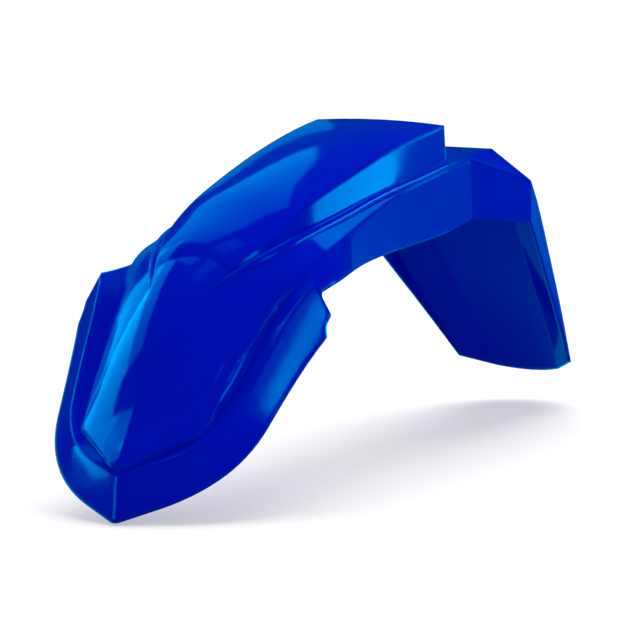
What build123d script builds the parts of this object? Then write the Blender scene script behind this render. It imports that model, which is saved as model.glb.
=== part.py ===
"""Front mudguard for an off-road motorcycle: one moulded plastic shell.

Frame: +X towards the nose, +Y to the rider's left, +Z square to the flat
fixing deck. The origin is the middle of the four bolt holes, on the deck.
Every body is drawn twice by the same function: once as the outside of the
shell and once, a wall thickness further in, as the hollow under it.
"""
from build123d import *
from math import atan2, cos, degrees, hypot, radians, sin, tan
import os

os.makedirs("parts", exist_ok=True)

# moulding
WALL = 2.6              # plastic thickness
REACH = 130.0           # half width that clears the whole shell
# fixing deck and its bolt holes
BOLT_X = 52.0           # hole spacing fore and aft
BOLT_Y = 60.0           # hole spacing across
BOLT_D = 6.6            # clearance hole for an M6 bolt
HOOD_END = 51.0         # rear wall of the hood
FLARE_X = 17.0          # where the sides start to flare outwards
WAIST_Y = 65.0          # half width between the fork legs
WAIST_LOW = -50.0       # lower edge of the waist
# front dish, drawn on a plane that leans forward through the nose tip
NOSE_X = 508.0          # nose tip ahead of the bolt centre
NOSE_Z = -237.0         # nose tip below the deck
WING_X = 0.695 * NOSE_X  # rear corner of a wing's rim ahead of the bolt centre
WING_Z = 0.409 * NOSE_Z  # and below the deck
RIM_V = 57.8            # half angle of the nose in plan
RIM_SIDE = 13.0         # angle of the wing sides to the centre line
RIM_CORNER = 54.5       # nose tip to where the nose and side lines meet
RIM_ROUND = 0.6         # share of the nose line that the rounded corner takes up
NOSE_R = 9.0            # rounding of the nose
RIM_LEVEL = 3.0         # how far the rim hangs below the dish plane
SKIRT_DOWN = 10.0       # how far the skirt is drawn below the dish plane
SKIRT_UP = 42.0         # and above it
SKIRT_SPLAY = 47.0      # lean of the skirt
# raised centre panel
PANEL_S = 37.5          # nose tip to the panel's front point
PANEL_V = 49.4          # half angle of the panel's front point
PANEL_R = 14.0          # rounding of that point
# rear flare and flap
FLARE_Y = 88.0          # half width of the flare
FLAP_Y = 54.0           # half width of the flap at its foot
FLAP_X = -192.0         # foot of the flap behind the bolt centre
FLAP_Z = -212.0         # and below the deck

# the stations below are drawn for the sizes that divide here, and stretch with the part
LONG = (NOSE_X - FLARE_X) / 491  # fore and aft, ahead of the deck
DEEP = NOSE_Z / -237    # up and down, ahead of the deck
WIDE = WAIST_Y / 65     # across
DISH_LONG = hypot(NOSE_X - WING_X, NOSE_Z - WING_Z)
DISH_TILT = degrees(atan2(WING_Z - NOSE_Z, NOSE_X - WING_X))
DISH_K = DISH_LONG / 208.9
REAR_LONG = FLAP_X / -192
REAR_DEEP = FLAP_Z / -212

DISH = Plane(
    origin=(NOSE_X, 0, NOSE_Z),
    x_dir=(-cos(radians(DISH_TILT)), 0, sin(radians(DISH_TILT))),
    z_dir=(sin(radians(DISH_TILT)), 0, cos(radians(DISH_TILT))),
)


def reach(x):
    """Place of a station between the flare and the nose."""
    return FLARE_X + (x - 17) * LONG


def across(x):
    """Plane square to the X axis, with Y across and Z up."""
    return Plane(origin=(x, 0, 0), x_dir=(0, 1, 0), z_dir=(1, 0, 0))


def crowned(plane, half, edge, middle, foot_half, foot, crease=0.0):
    """Section with a crowned top over two leaning sides and a flat foot.

    A crease of 0 gives a round crown, a crease of 1 a plain ridge.
    """
    swell = middle - crease * (middle - edge) / 2
    with BuildSketch(plane) as face:
        with BuildLine():
            Bezier((-half, edge), (-half / 2, swell), (0, middle))
            Bezier((0, middle), (half / 2, swell), (half, edge))
            Line((half, edge), (foot_half, foot))
            Line((foot_half, foot), (-foot_half, foot))
            Line((-foot_half, foot), (-half, edge))
        make_face()
    return face.sketch


# panel and waist: station x, half width, edge height, centre height, side lean, crease
PANEL_STATIONS = (
    (17, 65, 0, 0.4, 1, 0),
    (34, 65.2, -0.7, 2, 1, 0),
    (51, 65.5, -1.8, 3.6, 1, 0),
    (90, 66.1, -5.4, 5.4, 1.1, 0),
    (137, 67.4, -11, 5.6, 1.6, 0),
    (190, 71.5, -20, 2, 4, 0),
    (245, 77.5, -30, -3, 12, 0),
    (295, 83, -38.5, -12, 24, 0),
    (319, 81.5, -45, -18, 26, 0),
    (354, 76, -66, -30, 12, 0),
    (396, 69, -104, -58, 6, 0),
    (440, 60, -148, -105, 6, 0.15),
    (468, 53, -176, -148, 6, 0.8),
    (483, 49.5, -190.5, -168.5, 6, 1.2),
    (498, 47, -205, -192, 6, 1.2),
    (516, 43, -223, -222, 6, 1.2),
)
# hood: station x, half width, edge height, centre height, side lean, crease
HOOD_STATIONS = (
    (31, 61, 33.5, 36, 1, 0),
    (51, 61, 33.5, 36, 1, 0),
    (92, 60.5, 30, 34.5, 1.5, 0),
    (160, 59, 20, 28, 4, 0),
    (235, 56, 4.5, 15, 10, 0),
    (279, 53.5, -7, 4, 13, 0),
    (309, 52, -19, -6.5, 13, 0),
    (337, 46, -29.5, -17.5, 13, 0),
    (363, 37, -42.5, -35, 13, 0),
    (397, 24, -65.5, -62.5, 13, 0),
)


def stretched(stations):
    """Stations of the panel or hood at the part's own size."""
    return [
        (reach(x), half * WIDE, edge * DEEP, middle * DEEP, lean * WIDE, crease)
        for x, half, edge, middle, lean, crease in stations
    ]


def slope_at(stations, i):
    """Fore and aft slope of the centre line at a station."""
    a = stations[max(i - 1, 0)]
    b = stations[min(i + 1, len(stations) - 1)]
    return (b[3] - a[3]) / (b[0] - a[0])


def long_body(stations, depth, fall):
    """Loft along X through crowned sections, moved in by depth."""
    stations = stretched(stations)
    sections = []
    for i, (x, half, edge, middle, lean, crease) in enumerate(stations):
        run = slope_at(stations, i)
        roll = 2 * (middle - edge) / half
        top = depth * hypot(1, run)
        side = depth * hypot(1, run, roll)
        low = edge - fall - 2 * depth
        sections.append(
            crowned(
                across(x), half - depth, edge - side, middle - top, half + lean - depth, low, crease
            )
        )
    loft(sections)


def panel_front(depth):
    """Everything ahead of the panel's pointed front edge."""
    tip = PANEL_S + depth / sin(radians(PANEL_V))
    back = REACH / tan(radians(PANEL_V))
    with BuildSketch(DISH.offset(-0.6 * REACH)) as plan:
        with BuildLine():
            Polyline(
                (tip, 0), (tip + back, REACH), (-REACH, REACH), (-REACH, -REACH), (tip + back, -REACH),
                close=True,
            )
        make_face()
        fillet(plan.vertices().filter_by(lambda v: abs(v.Y) < WALL), radius=PANEL_R)
    extrude(plan.sketch, amount=1.5 * REACH, mode=Mode.SUBTRACT)


def rim_outline(level, depth):
    """Outline of the dish at a level above its plane, moved in by depth."""
    lean = tan(radians(SKIRT_SPLAY))
    inset = (level + RIM_LEVEL) * lean + depth / cos(radians(SKIRT_SPLAY))
    v, side = radians(RIM_V), radians(RIM_SIDE)
    tip = inset / sin(v)
    # nose line: y = (s - tip) tan v;  side line: y = y0 + s tan side - drop
    y0 = RIM_CORNER * tan(v) - RIM_CORNER * tan(side) - inset / cos(side)
    s_corner = (y0 + tip * tan(v)) / (tan(v) - tan(side))
    y_corner = (s_corner - tip) * tan(v)
    s_end = 345 * DISH_K
    y_end = y0 + s_end * tan(side)
    with BuildSketch(DISH.offset(level)) as plan:
        with BuildLine():
            Polyline(
                (tip, 0), (s_corner, y_corner), (s_end, y_end), (s_end, -y_end),
                (s_corner, -y_corner), close=True,
            )
        make_face()
        corner = [p for p in plan.vertices() if abs(abs(p.Y) - y_corner) < WALL / 10]
        nose_line = (s_corner - tip) / cos(v)
        fillet(corner, radius=RIM_ROUND * nose_line / tan((v - side) / 2))
        fillet(plan.vertices().filter_by(lambda p: abs(p.Y) < WALL / 10), radius=NOSE_R)
    return plan.sketch


# top of the band and wings: distance behind the nose tip, height at the
# centre and height at the far edge, both above the dish plane
BAND_STATIONS = (
    (-40.0, 22.0, 18.0),
    (28.0, 22.5, 16.0),
    (61.0, 20.0, 26.0),
    (94.0, 13.0, 38.0),
    (145.0, 11.0, 39.0),
    (197.0, 12.0, 46.0),
    (229.0, 9.0, 50.0),
    (266.0, 2.0, 34.0),
    (306.0, -22.0, -10.0),
    (350.0, -60.0, -60.0),
)


def band_body(depth):
    """Filled body under the band and wing surface."""
    wide = 160 * WIDE
    low = -80 * DISH_K
    sections = []
    for s, middle, edge in BAND_STATIONS:
        at = DISH.from_local_coords((s * DISH_K, 0, 0))
        plane = Plane(origin=at, x_dir=(0, 1, 0), z_dir=-DISH.x_dir)
        sections.append(
            crowned(plane, wide, edge * DISH_K - depth, middle * DISH_K - depth, wide, low)
        )
    loft(sections, mode=Mode.INTERSECT)


def scallop(depth):
    """Space for one fork leg behind a wing, wider towards the top."""
    wing = reach(356) + depth
    far = 1.6 * REACH
    sections = []
    for z, shift in ((40, -50), (-110, 32)):
        y = shift * WIDE - 1.1 * depth
        outer, middle, inner, start = (w * WIDE + y for w in (119, 97, 81, 64))
        back, knee = reach(185), reach(285)
        with BuildSketch(Plane.XY.offset(z * DEEP)) as plan:
            with BuildLine():
                ThreePointArc((wing, outer), (reach(338) + depth, middle), (knee, inner))
                Polyline(
                    (knee, inner), (back, start), (back, far), (wing, far), (wing, outer)
                )
            make_face()
        sections.append(plan.sketch)
    fork = loft(sections, ruled=True, mode=Mode.SUBTRACT)
    mirror(fork, about=Plane.XZ, mode=Mode.SUBTRACT)


def lower_edge():
    """Everything under the lower edge of the nose, wings, waist and flap."""
    ahead, deep = (reach(540), -262 * DEEP), -400 * DEEP
    wing = (WING_X, WING_Z)
    rim = [(reach(456), -196 * DEEP), (reach(416), -157 * DEEP)]
    notch = [(341, -79), (318, -68), (282, -62), (176, -57)]
    with BuildSketch(Plane.XZ.offset(-1.4 * REACH)) as side:
        with BuildLine():
            Spline(ahead, (NOSE_X, NOSE_Z), *rim, wing)
            Spline(wing, *[(reach(x), z * DEEP) for x, z in notch], (FLARE_X, WAIST_LOW))
            Polyline((FLARE_X, WAIST_LOW), (FLARE_X, deep), (ahead[0], deep), ahead)
        make_face()
    extrude(side.sketch, amount=2.8 * REACH, mode=Mode.SUBTRACT)
    front, rear = 0.667 * FLAP_X, 1.167 * FLAP_X
    with BuildSketch(Plane.XZ.offset(-REACH)) as foot:
        with BuildLine():
            Polyline(
                (front, 0.858 * FLAP_Z), (rear, 1.071 * FLAP_Z), (rear, 1.3 * FLAP_Z),
                (front, 1.3 * FLAP_Z), close=True,
            )
        make_face()
    extrude(foot.sketch, amount=2 * REACH, mode=Mode.SUBTRACT)


# rear flap: foot x and z, top x and z, half width, side height, half flat, flat height
# half widths are shares of the flare's
FLAP_STATIONS = (
    (-42, -60, -46, 0, 1.0, 35, 0.57, 60.1),
    (-51, -70, -61, -10, 0.97, 31, 0.56, 58.5),
    (-65, -86, -78, -34, 0.926, 26, 0.534, 50.5),
    (-112, -140, -141, -131, 0.773, 9, 0.432, 26),
    (-160, -197, -192, -212, FLAP_Y / FLARE_Y, 2.5, 0.341, 26),
    (-172, -211, -205, -232, 0.935 * FLAP_Y / FLARE_Y, 1.5, 0.318, 26),
)


def flap_section(station, depth):
    """Cross section of the flap, open side down."""
    fx, fz, tx, tz, half, side, flat, height = station
    fx, tx = fx * REAR_LONG, tx * REAR_LONG
    fz, tz, side, height = (z * REAR_DEEP for z in (fz, tz, side, height))
    half, flat = half * FLARE_Y, flat * FLARE_Y
    rise = hypot(tx - fx, tz - fz)
    up = Vector((tx - fx) / rise, 0, (tz - fz) / rise)
    ahead = Vector(0, 1, 0).cross(up)
    low = -4 * depth
    side = side - depth * 0.5
    half = half - depth
    flat = flat - depth * 0.4
    height = height - depth
    rise = rise - depth
    with BuildSketch(Plane(origin=(fx, 0, fz), x_dir=(0, 1, 0), z_dir=ahead)) as face:
        with BuildLine():
            Line((half, low), (half, side))
            Line((half, side), (flat, height))
            Bezier((flat, height), (0, 2 * rise - height), (-flat, height))
            Line((-flat, height), (-half, side))
            Line((-half, side), (-half, low))
            Line((-half, low), (half, low))
        make_face()
    return face.sketch


def flare_start(depth):
    """Cross section of the waist where the flare begins."""
    low = WAIST_LOW - 4 * depth
    half = WAIST_Y - depth
    wide = half + (0 - low) / 60
    flat = 0.57 * FLARE_Y - depth * 0.4
    with BuildSketch(across(FLARE_X)) as face:
        with BuildLine():
            Line((wide, low), (half, -depth))
            Line((half, -depth), (flat, -depth))
            Bezier((flat, -depth), (0, -depth), (-flat, -depth))
            Line((-flat, -depth), (-half, -depth))
            Line((-half, -depth), (-wide, low))
            Line((-wide, low), (wide, low))
        make_face()
    return face.sketch


def shape(depth):
    """The whole mudguard as one filled body, moved in by depth."""
    with BuildPart() as core:
        long_body(PANEL_STATIONS, depth, 0.92 * WAIST_Y)
        panel_front(depth)
        long_body(HOOD_STATIONS, depth, 0.69 * WAIST_Y)
        with Locations((HOOD_END + depth, 0, -depth)):
            Box(REACH, 2 * REACH, REACH, align=(Align.MAX, Align.CENTER, Align.MIN), mode=Mode.SUBTRACT)
    with BuildPart() as dish:
        loft([rim_outline(-SKIRT_DOWN - 3 * depth, depth), rim_outline(SKIRT_UP, depth)], ruled=True)
        band_body(depth)
        scallop(depth)
    with BuildPart() as tail:
        loft([flare_start(depth), flap_section(FLAP_STATIONS[0], depth)], ruled=True)
        loft([flap_section(s, depth) for s in FLAP_STATIONS])
    with BuildPart() as whole:
        add(core.part)
        add(dish.part)
        add(tail.part)
    return whole.part


outside = shape(0)
hollow = shape(WALL)
with BuildPart() as mudguard:
    add(outside)
    add(hollow, mode=Mode.SUBTRACT)
    lower_edge()
    with GridLocations(BOLT_X, BOLT_Y, 2, 2):
        Cylinder(BOLT_D / 2, 6 * WALL, mode=Mode.SUBTRACT)
mudguard.part.label = "mudguard"
export_step(mudguard.part, "parts/mudguard.step")
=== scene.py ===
"""Looks of a one-piece gloss-blue motorcycle front mudguard, laid out as an add-on.

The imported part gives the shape, and a rolled fold is added along each foot of its
hood. Both get a gloss plastic with soft moulded edges, faint flow marks and a fine
ripple, in a studio of soft boxes on a white floor.
"""

from math import cos, pi, radians, sin, tan

import bmesh
import bpy
from bpy.props import FloatProperty, FloatVectorProperty, PointerProperty
from mathutils import Matrix, Vector


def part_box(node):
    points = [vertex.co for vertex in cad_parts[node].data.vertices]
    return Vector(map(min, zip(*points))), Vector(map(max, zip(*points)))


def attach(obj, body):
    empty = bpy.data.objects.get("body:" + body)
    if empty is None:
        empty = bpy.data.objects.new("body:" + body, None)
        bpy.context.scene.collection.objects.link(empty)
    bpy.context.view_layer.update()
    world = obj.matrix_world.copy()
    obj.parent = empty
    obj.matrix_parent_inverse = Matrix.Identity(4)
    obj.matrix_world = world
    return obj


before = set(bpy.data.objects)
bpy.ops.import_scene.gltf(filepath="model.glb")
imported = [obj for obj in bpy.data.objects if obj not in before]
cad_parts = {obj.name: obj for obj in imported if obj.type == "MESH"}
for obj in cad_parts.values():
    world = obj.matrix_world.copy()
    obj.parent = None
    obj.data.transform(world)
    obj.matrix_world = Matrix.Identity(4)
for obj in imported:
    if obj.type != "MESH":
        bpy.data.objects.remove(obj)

bl_info = {
    "name": "Front mudguard",
    "version": (1, 0, 0),
    "blender": (4, 2, 0),
    "location": "View3D > Sidebar > Mudguard",
    "description": "Builds the looks of a moulded front mudguard and its studio",
    "category": "Object",
}

NODE = "mudguard"
LOW = Vector(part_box(NODE)[0])

# finish of the plastic: noise scales are in marks to a metre
FLOW_SCALE = (4.0, 22.0, 22.0)  # flow marks, drawn out along the part
FLOW_DETAIL = 3.0
GRAIN_SCALE = 70.0              # fine ripple
GRAIN_DETAIL = 4.0
RIPPLE_STRENGTH = 0.02
RIPPLE_HEIGHT = 0.001           # in metres
ROUGHNESS_SPREAD = 0.2          # share by which the roughness varies
EDGE_SAMPLES = 8                # rays that find the edges to be rounded
FOLD_STEPS = 5                  # points added to each quarter of a fold's round section
# studio, in metres apart from the sensor
FLOOR_HALF = 30.0               # half the width of the floor
FLOOR_GAP = 0.002               # from the shell's lowest point down to the floor
SENSOR_WIDTH = 36.0             # in millimetres
FAR_CLIP = 50.0                 # furthest that the camera sees

# soft boxes: name, azimuth and height of the middle, width and height, glow;
# the angles are in degrees, seen from the object, azimuth 0 at the nose
SOFT_BOXES = (
    ("far_low", 271, 23, 32, 16, 15.0),
    ("far_high", 268, 37, 40, 12, 5.0),
    ("far_side", 249, 21, 12, 22, 6.0),
    ("nose_corner", 326, 8, 16, 14, 16.0),
    ("nose_side", 288, 5, 28, 10, 0.8),
    ("back", 227, 44, 28, 40, 2.6),
    ("horizon", 232, 10.5, 40, 9, 0.8),
    ("rear", 181, 40, 10, 14, 5.0),
    ("overhead", 245, 78, 20, 12, 1.5),
    ("near_low", 139, 3.5, 21, 17, 20.0),
    ("near_front", 97, 14, 8, 16, 22.0),
)
# slim boxes close to the shell, which show as narrow stripes on the near wing and the
# nose: the same, then the distance in metres and a turn in degrees about their own axis
STRIPS = (
    ("wing_strip", 56, 32.2, 0.9, 9.0, 46.0, 0.753, -39.6),
    ("nose_strip", 298.8, -3.4, 25.0, 0.8, 24.0, 0.714, -7.1),
)
# broad lamps that shade the plastic: name, azimuth and height in degrees, strength
LAMPS = (
    ("top", 200, 65, 2.4),
    ("front", 10, 8, 0.5),
    ("near", 95, 15, 1.5),
    ("far", 285, 8, 1.0),
)
# fold along the near foot of the hood, from its tip on the panel to the deck:
# place of the roll's axis in metres and its share of the full radius there
FOLD = (
    ((0.387, 0.0275, -0.058), 0.1),
    ((0.3655, 0.039, -0.0475), 0.55),
    ((0.342, 0.0495, -0.039), 0.85),
    ((0.320, 0.0565, -0.033), 1.0),
    ((0.292, 0.0605, -0.027), 1.0),
    ((0.228, 0.0615, -0.0185), 1.0),
    ((0.161, 0.060, -0.010), 1.0),
    ((0.095, 0.060, -0.0045), 1.0),
    ((0.052, 0.060, -0.0005), 0.9),
)


class MudguardShell(bpy.types.PropertyGroup):
    """Colours and finish of the moulded shell."""

    colour: FloatVectorProperty(
        name="Plastic", description="Colour of the plastic", subtype="COLOR",
        default=(0.0, 0.003, 0.49), min=0.0, max=1.0,
    )
    streak: FloatVectorProperty(
        name="Flow marks", description="Colour of the faint flow marks", subtype="COLOR",
        default=(0.0, 0.006, 0.53), min=0.0, max=1.0,
    )
    sheen: FloatVectorProperty(
        name="Sheen", description="Tint of the light that the polish throws back", subtype="COLOR",
        default=(0.0, 0.43, 0.74), min=0.0, max=1.0,
    )
    index: FloatProperty(
        name="Index", description="Refractive index of the polish", default=1.22, min=1.0,
    )
    roughness: FloatProperty(
        name="Roughness", description="Roughness of the polished plastic",
        default=0.08, min=0.0, max=1.0, subtype="FACTOR",
    )
    edge: FloatProperty(
        name="Edge rounding", description="Radius of the moulded edges",
        default=0.004, min=0.0, unit="LENGTH",
    )


class MudguardFolds(bpy.types.PropertyGroup):
    """Size of the folds at the hood's foot."""

    radius: FloatProperty(
        name="Radius", description="Full radius of the rolled fold", default=0.005, min=0.0,
        unit="LENGTH",
    )


class MudguardStage(bpy.types.PropertyGroup):
    """Camera and light of the studio."""

    azimuth: FloatProperty(
        name="Azimuth", description="Camera's turn from the nose towards the rider's left",
        default=radians(30.37), subtype="ANGLE",
    )
    height: FloatProperty(
        name="Height", description="Camera's angle above the level", default=radians(8.65),
        subtype="ANGLE",
    )
    roll: FloatProperty(
        name="Roll", description="Turn of the camera about its own axis", default=-0.033,
        subtype="ANGLE",
    )
    field: FloatProperty(
        name="Field", description="Width of the picture at the object", default=0.5305,
        unit="LENGTH",
    )
    aim: FloatVectorProperty(
        name="Aim", description="Point in the middle of the picture", subtype="TRANSLATION",
        default=(0.170, 0.0048, -0.1154), unit="LENGTH",
    )
    distance: FloatProperty(
        name="Distance", description="Camera's distance", default=16.0, unit="LENGTH",
    )
    box_distance: FloatProperty(
        name="Soft box distance", description="Distance of the soft boxes", default=3.0,
        unit="LENGTH",
    )
    softness: FloatProperty(
        name="Softness", description="Angle that each broad lamp fills", default=radians(60),
        subtype="ANGLE",
    )
    fill: FloatProperty(
        name="Fill", description="Brightness of the room", default=0.18, min=0.0,
    )
    paper: FloatProperty(
        name="Paper", description="Tone of the floor", default=0.65, min=0.0, max=1.0,
        subtype="FACTOR",
    )
    lift: FloatProperty(
        name="Lift", description="Glow that takes the floor to white", default=0.42, min=0.0,
    )


def noise(tree, place, scale, detail):
    """Noise texture read at a place."""
    texture = tree.nodes.new("ShaderNodeTexNoise")
    texture.inputs["Scale"].default_value = scale
    texture.inputs["Detail"].default_value = detail
    tree.links.new(place, texture.inputs["Vector"])
    return texture.outputs["Fac"]


def flow_marks(tree, place, look):
    """Colour of the plastic, with faint marks along the way that it flowed."""
    stretch = tree.nodes.new("ShaderNodeMapping")
    stretch.inputs["Scale"].default_value = FLOW_SCALE
    tree.links.new(place, stretch.inputs["Vector"])
    marks = noise(tree, stretch.outputs["Vector"], 1.0, FLOW_DETAIL)
    blend = tree.nodes.new("ShaderNodeMix")
    blend.data_type = "RGBA"
    blend.inputs["A"].default_value = (*look.colour, 1.0)
    blend.inputs["B"].default_value = (*look.streak, 1.0)
    tree.links.new(marks, blend.inputs["Factor"])
    return blend.outputs["Result"]


def rippled_edges(tree, grain, look):
    """Normal of the surface, with rounded edges and a fine ripple."""
    rounded = tree.nodes.new("ShaderNodeBevel")
    rounded.samples = EDGE_SAMPLES
    rounded.inputs["Radius"].default_value = look.edge
    ripple = tree.nodes.new("ShaderNodeBump")
    ripple.inputs["Strength"].default_value = RIPPLE_STRENGTH
    ripple.inputs["Distance"].default_value = RIPPLE_HEIGHT
    tree.links.new(grain, ripple.inputs["Height"])
    tree.links.new(rounded.outputs["Normal"], ripple.inputs["Normal"])
    return ripple.outputs["Normal"]


def uneven_polish(tree, grain, look):
    """Roughness that varies a little with the grain."""
    polish = tree.nodes.new("ShaderNodeMapRange")
    polish.inputs["To Min"].default_value = look.roughness * (1 - ROUGHNESS_SPREAD)
    polish.inputs["To Max"].default_value = look.roughness * (1 + ROUGHNESS_SPREAD)
    tree.links.new(grain, polish.inputs["Value"])
    return polish.outputs["Result"]


def plastic(look):
    """Gloss plastic: flow marks in the colour, fine ripple and a tinted polish."""
    material = bpy.data.materials.new("gloss_plastic")
    material.use_nodes = True
    tree = material.node_tree
    nodes, links = tree.nodes, tree.links
    place = nodes.new("ShaderNodeTexCoord").outputs["Object"]
    grain = noise(tree, place, GRAIN_SCALE, GRAIN_DETAIL)
    body = nodes["Principled BSDF"]
    body.inputs["Specular IOR Level"].default_value = 0.0
    links.new(flow_marks(tree, place, look), body.inputs["Base Color"])
    gloss = nodes.new("ShaderNodeBsdfGlossy")
    gloss.inputs["Color"].default_value = (*look.sheen, 1.0)
    share = nodes.new("ShaderNodeFresnel")
    share.inputs["IOR"].default_value = look.index
    roughness = uneven_polish(tree, grain, look)
    for node in (body, gloss):
        links.new(roughness, node.inputs["Roughness"])
    normal = rippled_edges(tree, grain, look)
    for node in (body, gloss, share):
        links.new(normal, node.inputs["Normal"])
    coated = nodes.new("ShaderNodeMixShader")
    links.new(share.outputs["Fac"], coated.inputs["Fac"])
    links.new(body.outputs["BSDF"], coated.inputs[1])
    links.new(gloss.outputs["BSDF"], coated.inputs[2])
    links.new(coated.outputs["Shader"], nodes["Material Output"].inputs["Surface"])
    return material


def paper(stage):
    """White floor paper: lifted to white wherever the camera or a reflection sees it."""
    material = bpy.data.materials.new("white_paper")
    material.use_nodes = True
    nodes, links = material.node_tree.nodes, material.node_tree.links
    shader = nodes["Principled BSDF"]
    shader.inputs["Base Color"].default_value = (stage.paper, stage.paper, stage.paper, 1.0)
    shader.inputs["Roughness"].default_value = 1.0
    shader.inputs["Specular IOR Level"].default_value = 0.0
    shader.inputs["Emission Color"].default_value = (1.0, 1.0, 1.0, 1.0)
    ray = nodes.new("ShaderNodeLightPath")
    seen = ray.outputs["Is Camera Ray"]
    for way in ("Is Glossy Ray", "Is Transmission Ray"):
        either = nodes.new("ShaderNodeMath")
        either.operation = "MAXIMUM"
        links.new(seen, either.inputs[0])
        links.new(ray.outputs[way], either.inputs[1])
        seen = either.outputs["Value"]
    glow = nodes.new("ShaderNodeMath")
    glow.operation = "MULTIPLY"
    glow.inputs[1].default_value = stage.lift
    links.new(seen, glow.inputs[0])
    links.new(glow.outputs["Value"], shader.inputs["Emission Strength"])
    return material


def bearing(azimuth, height):
    """Direction from the object, azimuth 0 at the nose."""
    return Vector((
        cos(height) * cos(azimuth), cos(height) * sin(azimuth), sin(height),
    ))


class MUDGUARD_OT_shell(bpy.types.Operator):
    """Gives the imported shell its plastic."""

    bl_idname = "mudguard.shell"
    bl_label = "Mudguard shell"

    def execute(self, context):
        finish = plastic(context.scene.mudguard_shell)
        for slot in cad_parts[NODE].material_slots:
            slot.material = finish
        return {"FINISHED"}


class MUDGUARD_OT_folds(bpy.types.Operator):
    """Adds the rolled fold along each foot of the hood."""

    bl_idname = "mudguard.folds"
    bl_label = "Hood folds"

    def execute(self, context):
        mesh = self.rolls(context.scene.mudguard_folds.radius)
        mesh.shade_smooth()
        mesh.materials.clear()
        mesh.materials.append(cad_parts[NODE].active_material)
        folds = bpy.data.objects.new("hood_folds", mesh)
        context.scene.collection.objects.link(folds)
        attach(folds, "root")
        return {"FINISHED"}

    def rolls(self, radius):
        """Mesh of a tapered roll on each side, drawn as a round curve."""
        roll = bpy.data.curves.new("fold_line", "CURVE")
        roll.dimensions = "3D"
        roll.bevel_depth = radius
        roll.bevel_resolution = FOLD_STEPS
        roll.use_fill_caps = True
        for side in (1, -1):
            line = roll.splines.new("BEZIER")
            line.bezier_points.add(len(FOLD) - 1)
            for knot, ((x, y, z), share) in zip(line.bezier_points, FOLD):
                knot.co = (x, side * y, z)
                knot.radius = share
                knot.handle_left_type = knot.handle_right_type = "AUTO"
        drawn = bpy.data.objects.new("fold_line", roll)
        mesh = bpy.data.meshes.new_from_object(drawn)
        bpy.data.objects.remove(drawn)
        bpy.data.curves.remove(roll)
        return mesh


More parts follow.
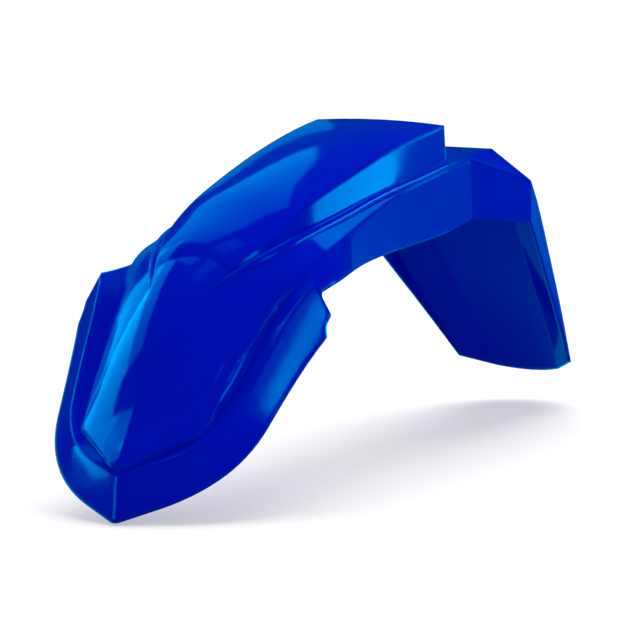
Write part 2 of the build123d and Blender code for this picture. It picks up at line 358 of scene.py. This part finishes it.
class MUDGUARD_OT_stage(bpy.types.Operator):
    """Sets up the floor, the studio lights and the camera."""

    bl_idname = "mudguard.stage"
    bl_label = "Mudguard stage"

    def execute(self, context):
        stage = context.scene.mudguard_stage
        self.floor(context, stage)
        self.room(context, stage)
        for row in SOFT_BOXES:
            self.soft_box(context, stage, row, stage.box_distance, 0.0)
        for *row, distance, turn in STRIPS:
            self.soft_box(context, stage, row, distance, radians(turn))
        for name, azimuth, height, strength in LAMPS:
            self.lamp(context, stage, name, bearing(radians(azimuth), radians(height)), strength)
        self.camera(context, stage)
        context.scene.view_settings.view_transform = "Standard"
        return {"FINISHED"}

    def soft_box(self, context, stage, row, distance, turn):
        """Panel that shows only in the shell's reflections, turned about its own axis."""
        name, *angles, glow = row
        azimuth, height, wide, tall = [radians(angle) for angle in angles]
        panel = bpy.data.lights.new(name, "AREA")
        panel.shape = "RECTANGLE"
        panel.size = 2 * distance * tan(wide / 2)
        panel.size_y = 2 * distance * tan(tall / 2)
        # a matt panel gives off its glow times pi from each square metre
        panel.energy = glow * panel.size * panel.size_y * pi
        box = bpy.data.objects.new(name, panel)
        out = bearing(azimuth, height)
        box.location = Vector(stage.aim) + out * distance
        facing = out.to_track_quat("Z", "Y").to_matrix()
        box.rotation_euler = (facing @ Matrix.Rotation(turn, 3, "Z")).to_euler()
        box.visible_diffuse = False
        box.visible_camera = False
        context.scene.collection.objects.link(box)

    def lamp(self, context, stage, name, out, strength):
        """Broad lamp that shades the plastic and leaves no reflection."""
        sun = bpy.data.lights.new(name, "SUN")
        sun.energy = strength
        sun.angle = stage.softness
        lamp = bpy.data.objects.new(name, sun)
        lamp.rotation_euler = out.to_track_quat("Z", "Y").to_euler()
        lamp.visible_glossy = False
        context.scene.collection.objects.link(lamp)

    def floor(self, context, stage):
        """Floor just below the shell."""
        shape = bmesh.new()
        bmesh.ops.create_grid(shape, x_segments=1, y_segments=1, size=FLOOR_HALF)
        bmesh.ops.translate(shape, verts=shape.verts, vec=(0, 0, LOW.z - FLOOR_GAP))
        mesh = bpy.data.meshes.new("floor")
        shape.to_mesh(mesh)
        shape.free()
        mesh.materials.append(paper(stage))
        floor = bpy.data.objects.new("floor", mesh)
        context.scene.collection.objects.link(floor)

    def room(self, context, stage):
        """Even, weak light from all round."""
        world = bpy.data.worlds.new("room")
        context.scene.world = world
        world.use_nodes = True
        fill = world.node_tree.nodes["Background"]
        fill.inputs["Color"].default_value = (1.0, 1.0, 1.0, 1.0)
        fill.inputs["Strength"].default_value = stage.fill

    def camera(self, context, stage):
        """Long lens from the nose's left, turned a little about its own axis."""
        back = bearing(stage.azimuth, stage.height)
        right = Vector((0, 0, 1)).cross(back).normalized()
        up = back.cross(right)
        level = Matrix((right, up, back)).transposed()
        turned = level @ Matrix.Rotation(stage.roll, 3, "Z")
        data = bpy.data.cameras.new("camera")
        data.sensor_width = SENSOR_WIDTH
        data.lens = SENSOR_WIDTH * stage.distance / stage.field
        data.clip_end = FAR_CLIP
        camera = bpy.data.objects.new("camera", data)
        place = Vector(stage.aim) + back * stage.distance
        camera.matrix_world = Matrix.Translation(place) @ turned.to_4x4()
        context.scene.collection.objects.link(camera)
        context.scene.camera = camera


class MUDGUARD_PT_panel(bpy.types.Panel):
    """Lists the steps and their settings."""

    bl_idname = "MUDGUARD_PT_panel"
    bl_label = "Mudguard"
    bl_space_type = "VIEW_3D"
    bl_region_type = "UI"
    bl_category = "Mudguard"

    def draw(self, context):
        for operator, group in (
            (MUDGUARD_OT_shell, context.scene.mudguard_shell),
            (MUDGUARD_OT_folds, context.scene.mudguard_folds),
            (MUDGUARD_OT_stage, context.scene.mudguard_stage),
        ):
            self.layout.operator(operator.bl_idname)
            for name in group.__annotations__:
                self.layout.prop(group, name)


CLASSES = (
    MudguardShell, MudguardFolds, MudguardStage,
    MUDGUARD_OT_shell, MUDGUARD_OT_folds, MUDGUARD_OT_stage, MUDGUARD_PT_panel,
)


def register():
    """Registers the classes and gives each scene its settings."""
    for item in CLASSES:
        bpy.utils.register_class(item)
    bpy.types.Scene.mudguard_shell = PointerProperty(type=MudguardShell)
    bpy.types.Scene.mudguard_folds = PointerProperty(type=MudguardFolds)
    bpy.types.Scene.mudguard_stage = PointerProperty(type=MudguardStage)


def unregister():
    """Takes the settings and the classes away again."""
    del bpy.types.Scene.mudguard_stage
    del bpy.types.Scene.mudguard_folds
    del bpy.types.Scene.mudguard_shell
    for item in reversed(CLASSES):
        bpy.utils.unregister_class(item)


def main():
    """Makes the looks and the stage."""
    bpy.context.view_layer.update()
    register()
    bpy.ops.mudguard.shell()
    bpy.ops.mudguard.folds()
    bpy.ops.mudguard.stage()


if __name__ == "__main__":
    main()
